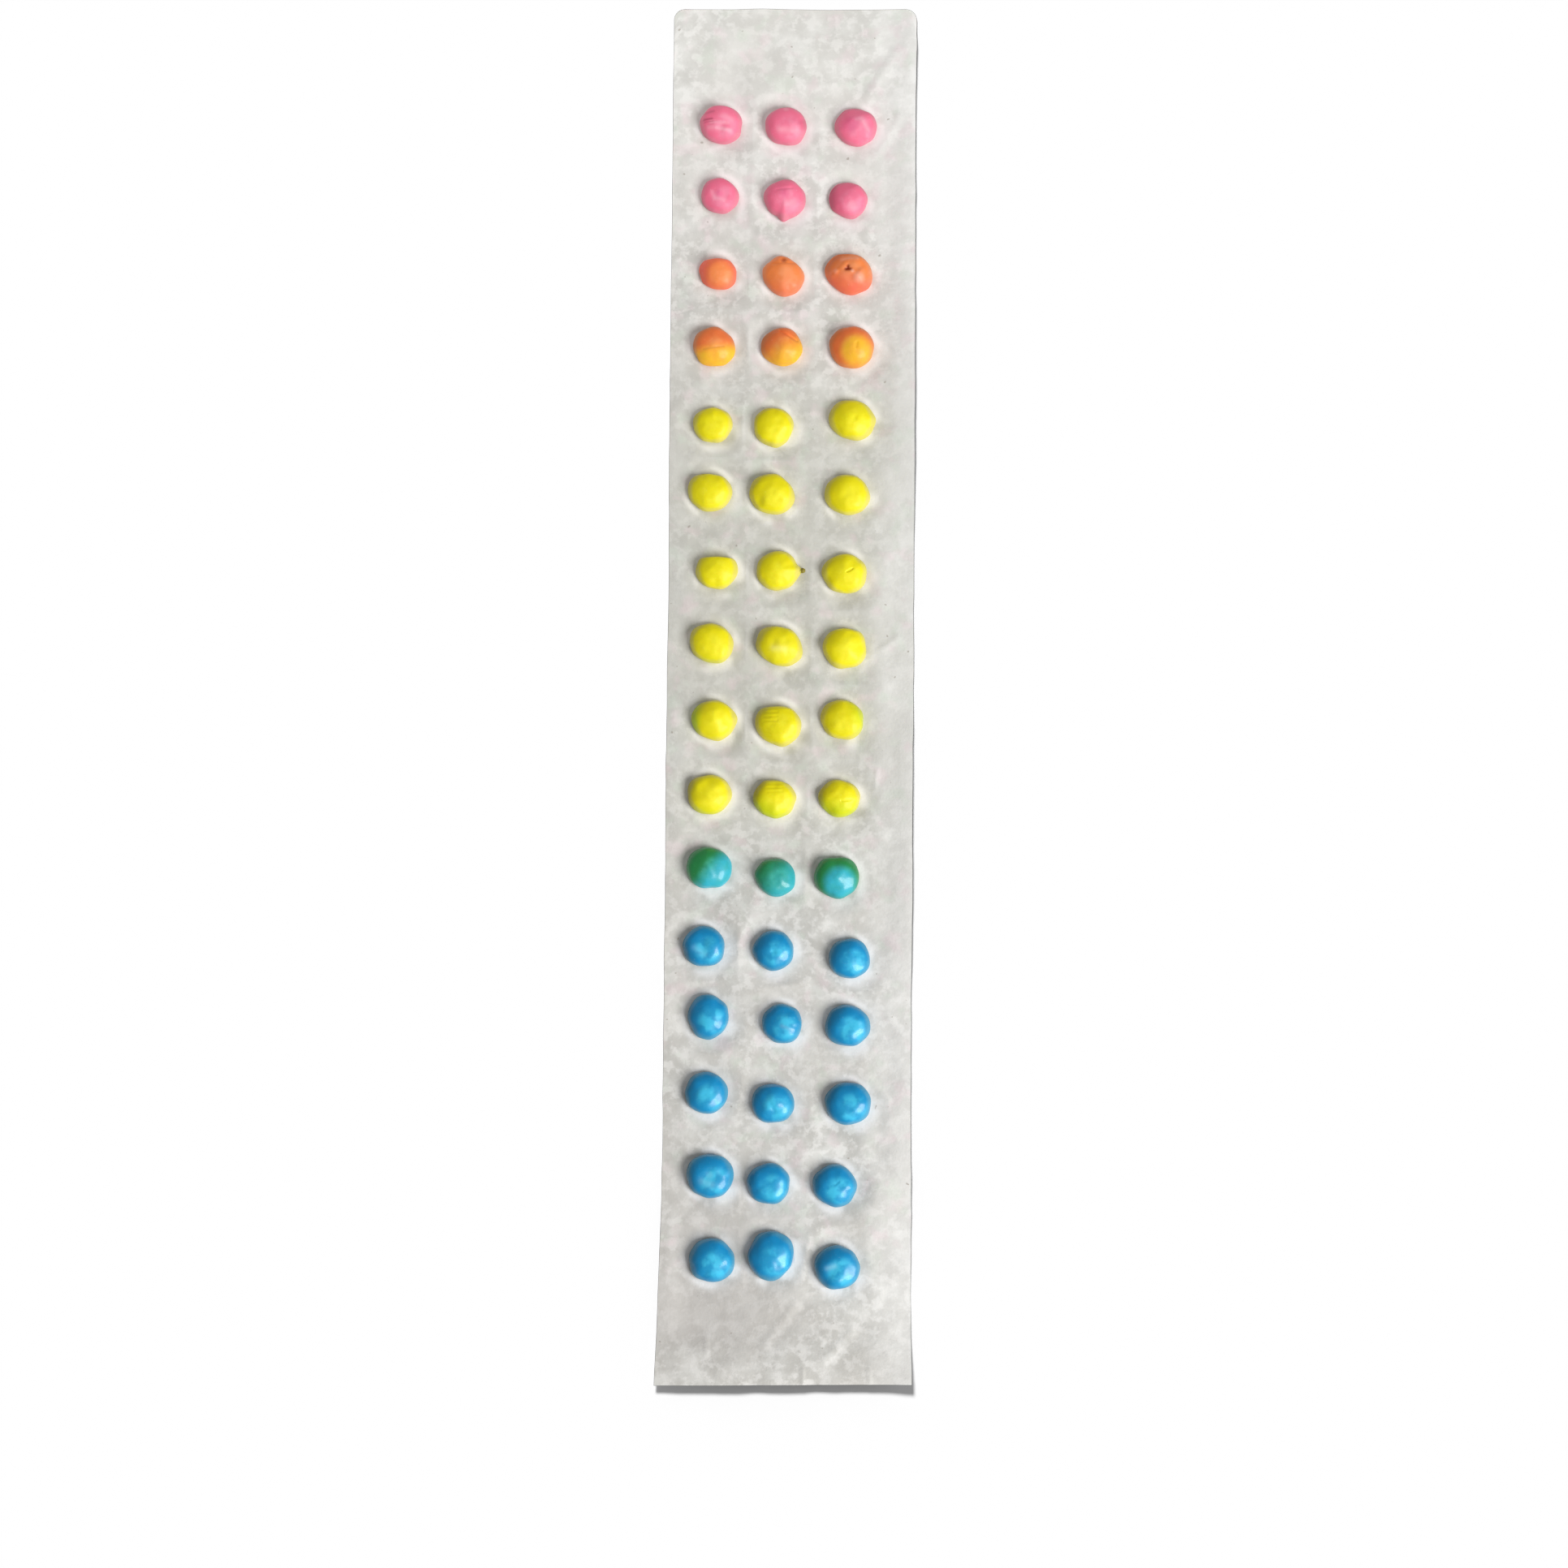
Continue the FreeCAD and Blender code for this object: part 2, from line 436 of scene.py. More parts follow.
def groove(x0, y0, x1, y1, width, depth):
    """A scratch or a fold from one place to another."""
    return lambda px, py: -depth * np.exp(-(distance_to_line(px, py, x0, y0, x1, y1) / width) ** 2)


def shelf(angle, place, width, height):
    """A low step across the crown: everything beyond place, towards angle, stands higher."""
    turn = math.radians(angle)
    return lambda px, py: height * ease((px * math.cos(turn) + py * math.sin(turn) - place) / width)


# What sets single buttons apart: marks on the crown, points on the outline, and a side cut straight.
MARKS = {
    "button_r01_left": (
        groove(-0.80, 0.13, -0.35, 0.16, 0.03, 0.05), groove(-0.75, 0.02, -0.25, 0.05, 0.03, 0.04),
        groove(-0.70, -0.10, -0.40, -0.08, 0.03, 0.04), bump(0.25, -0.45, 0.25, 0.05),
    ),
    "button_r01_centre": (bump(0.35, 0.25, 0.30, -0.05), shelf(-60, -0.5, 0.7, 0.06)),
    "button_r01_right": (shelf(120, 0.20, 0.60, -0.16), bump(0.15, -0.1, 0.4, 0.05)),
    "button_r02_left": (bump(0.0, 0.05, 0.22, 0.07), bump(0.0, 0.05, 0.45, -0.08)),
    "button_r02_centre": (groove(-0.45, 0.35, 0.35, 0.45, 0.05, 0.06), bump(0.0, -0.5, 0.2, 0.05)),
    "button_r02_right": (shelf(150, 0.0, 0.9, -0.26),),
    "button_r03_left": (shelf(180, 0.40, 0.50, -0.10), shelf(0, 0.40, 0.50, -0.08)),
    "button_r03_centre": (bump(0.0, 0.75, 0.14, -0.22), groove(-0.5, 0.55, 0.5, 0.6, 0.06, 0.06)),
    "button_r03_right": (
        groove(-0.17, 0.10, 0.04, 0.10, 0.08, 0.09), groove(-0.07, 0.12, -0.06, 0.27, 0.07, 0.09),
        bump(0.42, -0.25, 0.24, 0.18), bump(0.08, 0.0, 0.12, 0.06), shelf(135, 0.42, 0.28, -0.16),
        bump(0.55, 0.30, 0.22, -0.08), bump(0.55, 0.05, 0.14, 0.07), bump(-0.62, 0.02, 0.12, 0.08),
    ),
    "button_r04_left": (groove(-0.50, -0.22, 0.50, -0.06, 0.05, 0.025),),
    "button_r04_centre": (groove(-0.1, 0.75, 0.75, 0.25, 0.06, 0.14), bump(0.1, -0.2, 0.25, 0.07)),
    "button_r04_right": (bump(0.20, -0.15, 0.50, 0.12), groove(0.20, -0.1, 0.22, 0.1, 0.06, 0.05)),
    "button_r05_right": (bump(0.15, 0.0, 0.12, -0.05), bump(-0.3, -0.3, 0.4, 0.05)),
    "button_r06_left": (bump(-0.35, 0.80, 0.18, -0.16),),
    "button_r06_centre": (bump(0.1, 0.1, 0.5, 0.05), bump(-0.55, -0.45, 0.2, -0.10)),
    "button_r07_right": (groove(0.10, 0.02, 0.36, 0.17, 0.045, 0.10),),
    "button_r08_centre": (
        bump(-0.25, 0.1, 0.17, -0.045), bump(0.3, 0.15, 0.17, -0.04), bump(0, -0.2, 0.3, 0.05),
    ),
    "button_r09_centre": tuple(
        groove(-0.68, 0.70 - 0.19 * step, -0.05, 0.72 - 0.19 * step, 0.045, 0.035) for step in range(4)
    ),
    "button_r10_centre": tuple(
        groove(-0.35, 0.72 - 0.20 * step, 0.40, 0.75 - 0.20 * step, 0.05, 0.03) for step in range(3)
    ),
    "button_r10_right": (groove(0.10, -0.16, 0.58, -0.10, 0.05, 0.05), shelf(-90, 0.0, 0.35, -0.05)),
    "button_r11_right": (bump(0.0, -0.50, 0.24, -0.05),),
    "button_r12_left": (bump(-0.1, 0.1, 0.5, -0.06),),
    "button_r12_centre": (bump(0.0, -0.05, 0.14, -0.05),),
    "button_r13_centre": (groove(0.05, -0.05, 0.6, -0.30, 0.12, -0.03),),
    "button_r14_centre": (groove(-0.1, -0.05, 0.1, -0.35, 0.10, 0.03), bump(0.2, 0.3, 0.3, 0.04)),
    "button_r15_left": (bump(-0.05, 0.05, 0.22, -0.06),),
    "button_r15_right": (groove(-0.05, 0.05, 0.18, 0.22, 0.06, 0.025),),
    "button_r16_right": (bump(-0.25, -0.05, 0.25, -0.05),),
}
POINTS = {                        # a point on the outline: (angle, length in radii, width), angles in degrees
    "button_r02_centre": (-95, 0.20, 13),
    "button_r03_centre": (-88, 0.10, 25),
    "button_r05_centre": (-80, 0.07, 18),
    "button_r05_right": (0, 0.14, 18),
    "button_r07_centre": (3, 0.16, 11),
    "button_r09_left": (2, 0.08, 16),
    "button_r10_centre": (5, 0.08, 16),
}
STRETCHES = {                     # how much wider than long, as a share of the radius; negative is narrower
    "button_r03_right": 0.09,
    "button_r05_centre": 0.01,
    "button_r07_centre": 0.03,
    "button_r08_centre": 0.12,
    "button_r08_right": 0.0,
    "button_r13_left": -0.05,
    "button_r13_right": 0.045,
    "button_r14_right": 0.045,
    "button_r15_left": 0.045,
    "button_r16_centre": -0.055,
}
STRAIGHT_SIDES = {                # how far out the side towards the head is cut straight, in radii
    "button_r03_left": 0.84,
    "button_r06_left": 0.90,
    "button_r07_left": 0.74,
    "button_r08_right": 0.90,
    "button_r09_centre": 0.88,
    "button_r14_centre": 0.92,
}
PULL = -12                        # the direction that the drops are drawn out in, in degrees,
PULL_SPREAD = 16                  # and how far it varies either way
STRETCH_SPREAD = 0.01
LOBES = ((3, 0.024), (4, 0.016), (5, 0.018), (7, 0.010), (9, 0.006))    # (waves round the outline, height)
LOBE_SHARE = (0.4, 1.0)           # how much of that height a drop gets


def outline(name, theta, draw):
    """How far the button reaches in each direction, in radii: a drop drawn out along the nozzle's travel."""
    pull = math.radians(PULL + draw.uniform(-PULL_SPREAD, PULL_SPREAD))
    usual = SUGARS[BUTTON_SLOTS[name]]["stretch"] + draw.uniform(-STRETCH_SPREAD, STRETCH_SPREAD)
    reach = 1 + STRETCHES.get(name, usual) * np.cos(2 * (theta - pull))
    for lobes, size in LOBES:
        reach += size * draw.uniform(*LOBE_SHARE) * np.cos(lobes * (theta - draw.uniform(0, 2 * math.pi)))
    if name in POINTS:
        angle, length, width = POINTS[name]
        apart = np.angle(np.exp(1j * (theta - math.radians(angle))))
        reach += length * np.exp(-(apart / math.radians(width)) ** 2)
    return reach


def profile(fullness):
    """(share of the radius, share of the height) down the side: crown, widest ring, rounded foot. The crown
    is a paraboloid where fullness is 1, and fuller, towards an ellipsoid, down to 0.5."""
    crown = np.linspace(0, math.pi / 2, CROWN_RINGS + 1)[1:]
    across = np.sin(crown)
    up = WIDEST + (1 - WIDEST) * (1 - across ** 2).clip(0) ** fullness
    foot = np.linspace(0, math.pi / 2, FOOT_RINGS + 1)[1:]
    foot_across = 1 - FOOT_TUCK * (1 - np.cos(foot))
    foot_up = WIDEST * (1 - np.sin(foot))
    return np.concatenate([across, foot_across]), np.concatenate([up, foot_up])


def ring_faces(rings, segments):
    """Faces of a closed drop: a fan at the top, bands between rings, and a fan below."""
    faces = []
    for s in range(segments):
        n = (s + 1) % segments
        faces.append((0, 1 + s, 1 + n))
        for r in range(rings - 1):
            a, b = 1 + r * segments, 1 + (r + 1) * segments
            faces.append((a + s, b + s, b + n, a + n))
        last = 1 + (rings - 1) * segments
        faces.append((last + s, 1 + rings * segments, last + n))
    return faces


CRUMB_BESIDE = "button_r07_centre"
CRUMB_PLACE = (1.22, 0.02, 0.16)  # in the button's radii, from the middle of its foot
CRUMB_RADIUS = 0.13               # in the button's radii
CRUMB_FLATNESS = 0.8
CRUMB_LUMPS = 0.12
CRUMB_SEGMENTS = 12
CRUMB_RINGS = 7


def crumb_points(middle, radius):
    """A loose grain of sugar: a small lumpy closed ball."""
    points = [middle + (0, 0, radius)]
    for r in range(1, CRUMB_RINGS):
        down = math.pi * r / CRUMB_RINGS
        for s in range(CRUMB_SEGMENTS):
            turn = 2 * math.pi * s / CRUMB_SEGMENTS
            size = radius * (1 + CRUMB_LUMPS * math.sin(3 * turn + 5 * down))
            points.append(middle + size * np.array([
                math.sin(down) * math.cos(turn),
                math.sin(down) * math.sin(turn),
                CRUMB_FLATNESS * math.cos(down),
            ]))
    points.append(middle - (0, 0, radius * CRUMB_FLATNESS))
    return np.array(points), ring_faces(CRUMB_RINGS - 1, CRUMB_SEGMENTS)


PRESSED_FROM = 0.8                # a straight side presses in what lies beyond this share of its distance,
PRESSED_TO = 1.05                 # and brings what was this many radii out to the side itself


def straighten(y, side):
    """Press in what lies beyond a straight side, so that the outline runs nearly straight there."""
    start = side * PRESSED_FROM
    return np.where(y > start, start + (y - start) * ((side - start) / (PRESSED_TO - start)), y)


FULLNESS_SPREAD = 0.05
LEAN = 0.05                       # how far a crown may slope, each way
BROAD_LUMPS = (0.07, 0.66)        # (height in button heights, size in radii) of the crown's lumps
FINE_LUMPS = (0.026, 0.30)
SWELL = (0.014, 0.8)              # (depth in radii, size in radii) of the side's lumps
SWELL_ACROSS = 2.2                # how fast they change across the drop,
SWELL_UP = 3                      # and up its side
CROWN_FADE = 2.5                  # how soon the marks reach full height, going up from the widest ring
SHAPE_SEED, BROAD_SEED, FINE_SEED, SWELL_SEED = 100, 300, 400, 500


def drop_points(spot, number, slot_name):
    """The points of a lumpy dome on a flat foot, from the top down, and how many rings they make."""
    draw = np.random.RandomState(SHAPE_SEED + number)
    theta = np.linspace(0, 2 * math.pi, SEGMENTS, endpoint=False)
    reach = outline(spot.name, theta, draw)
    fullness = SUGARS[slot_name]["fullness"] + draw.uniform(-FULLNESS_SPREAD, FULLNESS_SPREAD)
    share, up = profile(fullness)
    x = np.outer(share, np.cos(theta) * reach)
    y = np.outer(share, np.sin(theta) * reach)
    if spot.name in STRAIGHT_SIDES:
        y = straighten(y, STRAIGHT_SIDES[spot.name])
    z = np.repeat(up[:, None], SEGMENTS, 1)

    # The marks and lumps fade out towards the foot, so that the contact patch stays flat.
    x, y, z = np.append(0, x), np.append(0, y), np.append(1, z)
    on_crown = ease((z - WIDEST) / (1 - WIDEST) * CROWN_FADE)
    lumps = waves(x, y, *BROAD_LUMPS, BROAD_SEED + number) + waves(x, y, *FINE_LUMPS, FINE_SEED + number)
    for mark in MARKS.get(spot.name, ()):
        lumps = lumps + mark(x, y)
    lean = draw.uniform(-LEAN, LEAN) * x + draw.uniform(-LEAN, LEAN) * y
    z = z + on_crown * (lumps + lean)
    round_x, round_y = x * SWELL_ACROSS + z * SWELL_UP, y * SWELL_ACROSS - z * SWELL_UP
    swell = 1 + waves(round_x, round_y, *SWELL, SWELL_SEED + number)
    points = np.stack([x * swell * spot.radius, y * swell * spot.radius, z * spot.height], -1)
    return np.concatenate([points, [[0, 0, 0]]]), len(share)


LOT_STEP = np.array((17 * MM, 9 * MM, 0))        # how far apart two drops' patches of noise are taken


def strongest(patches, x, y):
    """The strongest of several patches at each place, and none where there are no patches."""
    total = 0 * x
    for patch in patches:
        total = np.maximum(total, patch(x, y))
    return total


def paint_drop(mesh, name, number, slot_name, x, y):
    """What the sugar's material reads. Places are in radii from the drop's middle."""
    # Painted shade on the side of each drop away from the key light.
    painted_shade_here = SUGARS[slot_name]["painted_shade_amount"] * SHADE_SIDE_OF_DROP(x, y)
    store(mesh, "run", "FLOAT", strongest(RUNS.get(name, ()), x, y))
    store(mesh, "outward", "FLOAT", np.hypot(x, y))
    # Painted sheen: milky patches kept to each drop's lit lower right.
    store(mesh, "milky", "FLOAT", MILK_AND_SHEEN_SIDE(x, y))
    # Brown marks, and painted shade.
    store(mesh, "burn", "FLOAT", np.maximum(painted_shade_here, strongest(BURNS_AND_PAINTED_SHADE.get(name, ()), x, y)))
    # Pale patches, and painted highlights.
    store(mesh, "bloom", "FLOAT", strongest(BLOOMS_AND_HIGHLIGHTS.get(name, ()), x, y))
    store(mesh, "lot", "FLOAT_VECTOR", np.tile(number * LOT_STEP, (len(x), 1)))


def sugar_drop(spot, number, material, slot_name):
    """One button, with its own marks, standing on the paper. One of them has a crumb beside it."""
    points, rings = drop_points(spot, number, slot_name)
    faces = ring_faces(rings, SEGMENTS)
    if spot.name == CRUMB_BESIDE:
        grain, grain_faces = crumb_points(np.array(CRUMB_PLACE) * spot.radius, CRUMB_RADIUS * spot.radius)
        faces += [tuple(index + len(points) for index in face) for face in grain_faces]
        points = np.concatenate([points, grain])
    drop = make_mesh(
        spot.name.replace("button", "drop"), points, faces,
        place=(spot.x, spot.y, PAPER_THICKNESS + GLUE_GAP),
    )
    x, y = points[:, 0] / spot.radius, points[:, 1] / spot.radius
    paint_drop(drop.data, spot.name, number, slot_name, x, y)
    drop.data.materials.append(material)
    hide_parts(spot.name)
    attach(drop, spot.name)


# --- where a drop's colour changes ------------------------------------------

# Each of these makes a patch: a function from places, in radii from the drop's middle, to how much of the
# second colour is there. None of it goes above most.

def towards(angle, start, end, most=1.0):
    """The second colour grows from start to end, in one direction."""
    turn = math.radians(angle)
    return lambda px, py: most * ease((px * math.cos(turn) + py * math.sin(turn) - start) / (end - start))


def inside(x, y, inner, outer, most=1.0):
    """The second colour fills a round patch."""
    return lambda px, py: most * (1 - ease((np.hypot(px - x, py - y) - inner) / (outer - inner)))


def around(x, y, inner, outer, most=1.0):
    """The second colour lies all round, outside a round patch."""
    return lambda px, py: most * ease((np.hypot(px - x, py - y) - inner) / (outer - inner))


def streak(x0, y0, x1, y1, width, most=1.0):
    """The second colour lies along a thin line."""
    return lambda px, py: most * np.exp(-(distance_to_line(px, py, x0, y0, x1, y1) / width) ** 2)


RUNS = {                         # where one batch's colour runs into the next
    "button_r01_right": (inside(-0.25, 0.0, 0.15, 0.55, 0.5),),
    "button_r02_left": (inside(0.0, 0.0, 0.0, 0.34, 0.5),),
    "button_r02_centre": (inside(-0.03, 0.15, 0.05, 0.35, 0.45),),
    "button_r03_left": (around(0.14, -0.16, 0.35, 1.05, 0.9),),
    "button_r03_centre": (towards(-80, -0.2, 1.0, 0.4),),
    "button_r03_right": (towards(-95, -0.3, 0.8, 0.8),),
    "button_r04_left": (towards(-82, -0.20, 0.45),),
    "button_r04_centre": (towards(-62, -0.45, 0.75),),
    "button_r04_right": (inside(0.22, -0.24, 0.40, 0.92),),
    "button_r08_left": (towards(-100, 0.5, 1.1, 0.25),),
    "button_r09_left": (towards(175, 0.45, 0.95, 0.7),),
    "button_r09_right": (towards(10, 0.15, 1.0, 0.45),),
    "button_r10_left": (towards(-100, 0.45, 1.0, 0.35),),
    "button_r10_centre": (towards(-120, -0.1, 0.9, 0.5),),
    "button_r10_right": (towards(-100, -0.2, 0.8, 0.5),),
    "button_r11_left": (towards(-38, -0.35, 0.45),),
    "button_r11_centre": (towards(-40, -1.1, 1.1, 0.85),),
    "button_r11_right": (inside(0.14, -0.28, 0.45, 0.95),),
}
BURNS_AND_PAINTED_SHADE = {                         # darker patches, most of them painted shade: on the side of a drop away from the key light and in some of its dents, grooves and its crater; a few are brown sugar
    "button_r01_left": (
        streak(-0.85, 0.15, -0.45, 0.17, 0.05, 0.7), streak(-0.82, 0.48, -0.40, 0.55, 0.09, 0.4),
        streak(-0.82, 0.02, -0.40, 0.04, 0.04, 0.4),
    ),
    "button_r01_centre": (inside(0.85, 0.0, 0.10, 0.40, 0.3),),
    "button_r02_right": (towards(175, 0.45, 0.95, 0.55),),
    "button_r03_centre": (inside(0.0, 0.76, 0.04, 0.20, 0.45),),
    "button_r03_right": (
        streak(-0.15, 0.10, 0.02, 0.10, 0.08, 0.95), streak(-0.07, 0.12, -0.06, 0.24, 0.07, 0.95),
        towards(135, 0.55, 0.95, 0.35),
    ),
    "button_r04_left": (streak(-0.50, -0.22, 0.50, -0.06, 0.045, 0.18), towards(155, 0.55, 1.0, 0.25)),
    "button_r04_centre": (towards(145, 0.35, 0.95, 0.35),),
    "button_r04_right": (towards(140, 0.45, 1.0, 0.25),),
    "button_r05_centre": (towards(150, 0.6, 1.0, 0.2),),
    "button_r07_centre": (inside(1.24, 0.02, 0.12, 0.20, 0.75), towards(175, 0.65, 1.0, 0.2)),
    "button_r09_centre": (towards(150, 0.5, 1.0, 0.3),),
    "button_r10_left": (towards(165, 0.50, 1.0, 0.45),),
    "button_r10_centre": (towards(152, 0.45, 1.0, 0.5),),
    "button_r10_right": (towards(158, 0.50, 1.0, 0.45),),
    "button_r12_left": (towards(195, 0.50, 1.0, 0.55),),
    "button_r12_centre": (towards(165, 0.30, 0.95, 0.40),),
    "button_r12_right": (towards(150, 0.30, 0.95, 0.40),),
    "button_r13_left": (towards(178, 0.45, 1.0, 0.55),),
    "button_r13_centre": (towards(150, 0.45, 1.0, 0.40),),
    "button_r13_right": (towards(148, 0.35, 0.95, 0.45),),
    "button_r14_left": (towards(168, 0.40, 1.0, 0.50),),
    "button_r14_centre": (towards(148, 0.40, 1.0, 0.45),),
    "button_r14_right": (towards(152, 0.35, 0.95, 0.45),),
    "button_r15_left": (towards(180, 0.50, 1.0, 0.50),),
    "button_r15_centre": (towards(165, 0.50, 1.0, 0.40),),
    "button_r15_right": (towards(155, 0.45, 1.0, 0.45),),
    "button_r16_left": (towards(170, 0.50, 1.0, 0.50),),
    "button_r16_centre": (towards(160, 0.50, 1.0, 0.40),),
    "button_r16_right": (towards(170, 0.50, 1.0, 0.45),),
}
BLOOMS_AND_HIGHLIGHTS = {                        # where the sugar dried pale, and painted highlights on the lit lower right of some drops, such as r03_right and r13_centre
    "button_r01_left": (
        streak(-0.50, 0.0, 0.35, -0.05, 0.10, 0.25), streak(-0.25, -0.28, 0.45, -0.42, 0.10, 0.35),
        streak(-0.60, -0.25, -0.10, -0.30, 0.14, 0.2), streak(0.10, 0.30, 0.55, 0.10, 0.14, 0.15),
    ),
    "button_r01_centre": (streak(-0.30, -0.30, 0.60, -0.36, 0.16, 0.25), inside(0.0, 0.82, 0.05, 0.22, 0.2)),
    "button_r01_right": (streak(0.35, 0.15, 0.58, -0.22, 0.12, 0.3), streak(0.0, 0.25, 0.3, 0.3, 0.10, 0.2)),
    "button_r02_left": (
        streak(-0.40, 0.10, -0.25, -0.25, 0.12, 0.2), streak(-0.25, -0.25, 0.25, -0.35, 0.12, 0.2),
    ),
    "button_r02_centre": (streak(0.10, -0.35, 0.45, -0.28, 0.16, 0.25),),
    "button_r02_right": (inside(0.20, -0.40, 0.10, 0.38, 0.2),),
    "button_r03_right": (
        inside(0.45, -0.28, 0.10, 0.34, 0.3), inside(0.14, 0.0, 0.03, 0.12, 0.35),
        inside(-0.62, 0.02, 0.04, 0.16, 0.2), streak(-0.35, 0.60, 0.35, 0.64, 0.09, 0.2),
    ),
    "button_r08_centre": (streak(-0.25, -0.15, 0.25, -0.20, 0.16, 0.22),),
    "button_r12_left": (streak(-0.45, -0.05, 0.05, -0.35, 0.16, 0.12),),
    "button_r13_centre": (streak(0.0, -0.10, 0.50, -0.32, 0.10, 0.15),),
    "button_r15_left": (streak(-0.35, -0.20, 0.10, -0.35, 0.16, 0.15), inside(0.0, 0.05, 0.05, 0.25, 0.12)),
    "button_r16_right": (streak(-0.45, 0.0, -0.12, 0.10, 0.12, 0.25),),
}
MILK_AND_SHEEN_SIDE = inside(0.20, -0.18, 0.38, 0.80)     # milky patches on every drop's lower right, the side lit by the key light: partly the sugar's own milkiness, partly painted sheen
SHADE_SIDE_OF_DROP = towards(138, 0.50, 0.94)          # painted shade on every drop's upper left, the side away from the key light


# --- materials --------------------------------------------------------------

def linear(hex_colour):
    """A screen colour, such as F06090, as the linear values that the renderer mixes."""
    parts = [int(hex_colour[i:i + 2], 16) / 255 for i in (0, 2, 4)]
    return np.array([part / 12.92 if part <= 0.04045 else ((part + 0.055) / 1.055) ** 2.4 for part in parts])


class Nodes:
    """A short way to write a material's node tree."""

    def __init__(self, name):
        self.material = bpy.data.materials.new(name)
        self.material.use_nodes = True
        self.tree = self.material.node_tree
        self.shader = self.tree.nodes["Principled BSDF"]

    def add(self, kind, **settings):
        node = self.tree.nodes.new(kind)
        for key, value in settings.items():
            setattr(node, key, value)
        return node

    def link(self, output, target):
        self.tree.links.new(output, target)

    def attribute(self, name):
        return self.add("ShaderNodeAttribute", attribute_name=name)

    def noise(self, place, size, detail, roughness=0.5):
        """Noise from 0 to 1 whose lumps are about size across, in metres."""
        node = self.add("ShaderNodeTexNoise")
        node.inputs["Scale"].default_value = 1 / size
        node.inputs["Detail"].default_value = detail
        node.inputs["Roughness"].default_value = roughness
        self.link(place, node.inputs["Vector"])
        return node.outputs["Fac"]

    def ramp(self, value, low, high, to_low=0.0, to_high=1.0):
        node = self.add("ShaderNodeMapRange", interpolation_type="SMOOTHSTEP")
        for key, number in (("From Min", low), ("From Max", high), ("To Min", to_low), ("To Max", to_high)):
            node.inputs[key].default_value = number
        self.link(value, node.inputs["Value"])
        return node.outputs["Result"]

    def math(self, operation, first, second):
        node = self.add("ShaderNodeMath", operation=operation)
        for index, value in enumerate((first, second)):
            if isinstance(value, (int, float)):
                node.inputs[index].default_value = value
            else:
                self.link(value, node.inputs[index])
        return node.outputs[0]

    def mix(self, amount, first, second):
        """From the first colour to the second as amount goes from 0 to 1."""
        node = self.add("ShaderNodeMix", data_type="RGBA")
        for key, value in ((0, amount), (6, first), (7, second)):
            if isinstance(value, bpy.types.NodeSocket):
                self.link(value, node.inputs[key])
            elif key == 0:
                node.inputs[key].default_value = value
            else:
                node.inputs[key].default_value = (*value, 1)
        return node.outputs[2]

    def bump(self, height, distance, strength, under=None):
        node = self.add("ShaderNodeBump")
        node.inputs["Distance"].default_value = distance
        node.inputs["Strength"].default_value = strength
        self.link(height, node.inputs["Height"])
        if under:
            self.link(under, node.inputs["Normal"])
        return node.outputs["Normal"]


PAPER_GREY = "C8C6C0"
PAPER_PALE = "DFDED9"
# Some of these tints stand for light and shade: painted shade in the middle, on the tail's left and along the
# left side, painted light at the whiter head and on the dust ring's broader side; the right edge is simply
# paler.
TINTS = {                         # what lies over those two: (colour, how much of it shows at most)
    "mottle": ("F1EFEB", 0.6), "cloud": ("CFCBC4", 0.45), "painted_shade_middle": ("C2C2B8", 0.45),
    "painted_light_head": ("FCFCF8", 0.2), "painted_shade_tail": ("BBB5B1", 0.42), "shaded": ("ACA9A4", 0.10),
    "paler_right_side": ("F6F5F2", 0.45), "rosy": ("EBD2D8", 0.28), "greenish": ("CFDCCB", 0.28),
    "dust": ("F8F6F4", 0.75), "speck": ("8C8072", 0.5),
}
GREENISH_SHIFT = (0.5, 0.3, 0.1)  # keeps the greenish patches from following the rosy ones


def spread(n, tint, value, low, high):
    """How much of a tint shows: from none to its most as value goes from low to high."""
    return n.ramp(value, low, high, 0.0, TINTS[tint][1])


def lay(n, colour, tint, amount):
    """The colour with a tint over it, which hides it where amount is 1."""
    return n.mix(amount, colour, linear(TINTS[tint][0]))


def paper_blotches(n, place):
    """Grey and paler blotches, whitish mottling over them, and broad warm clouds."""
    blotch = n.ramp(n.noise(place, 5.5 * MM, detail=4.0, roughness=0.55), 0.38, 0.68)
    colour = n.mix(blotch, linear(PAPER_GREY), linear(PAPER_PALE))
    mottle = spread(n, "mottle", n.noise(place, 2.4 * MM, detail=3.0, roughness=0.6), 0.46, 0.62)
    cloud = spread(n, "cloud", n.noise(place, 19 * MM, detail=2.0), 0.35, 0.65)
    return lay(n, lay(n, colour, "mottle", mottle), "cloud", cloud)


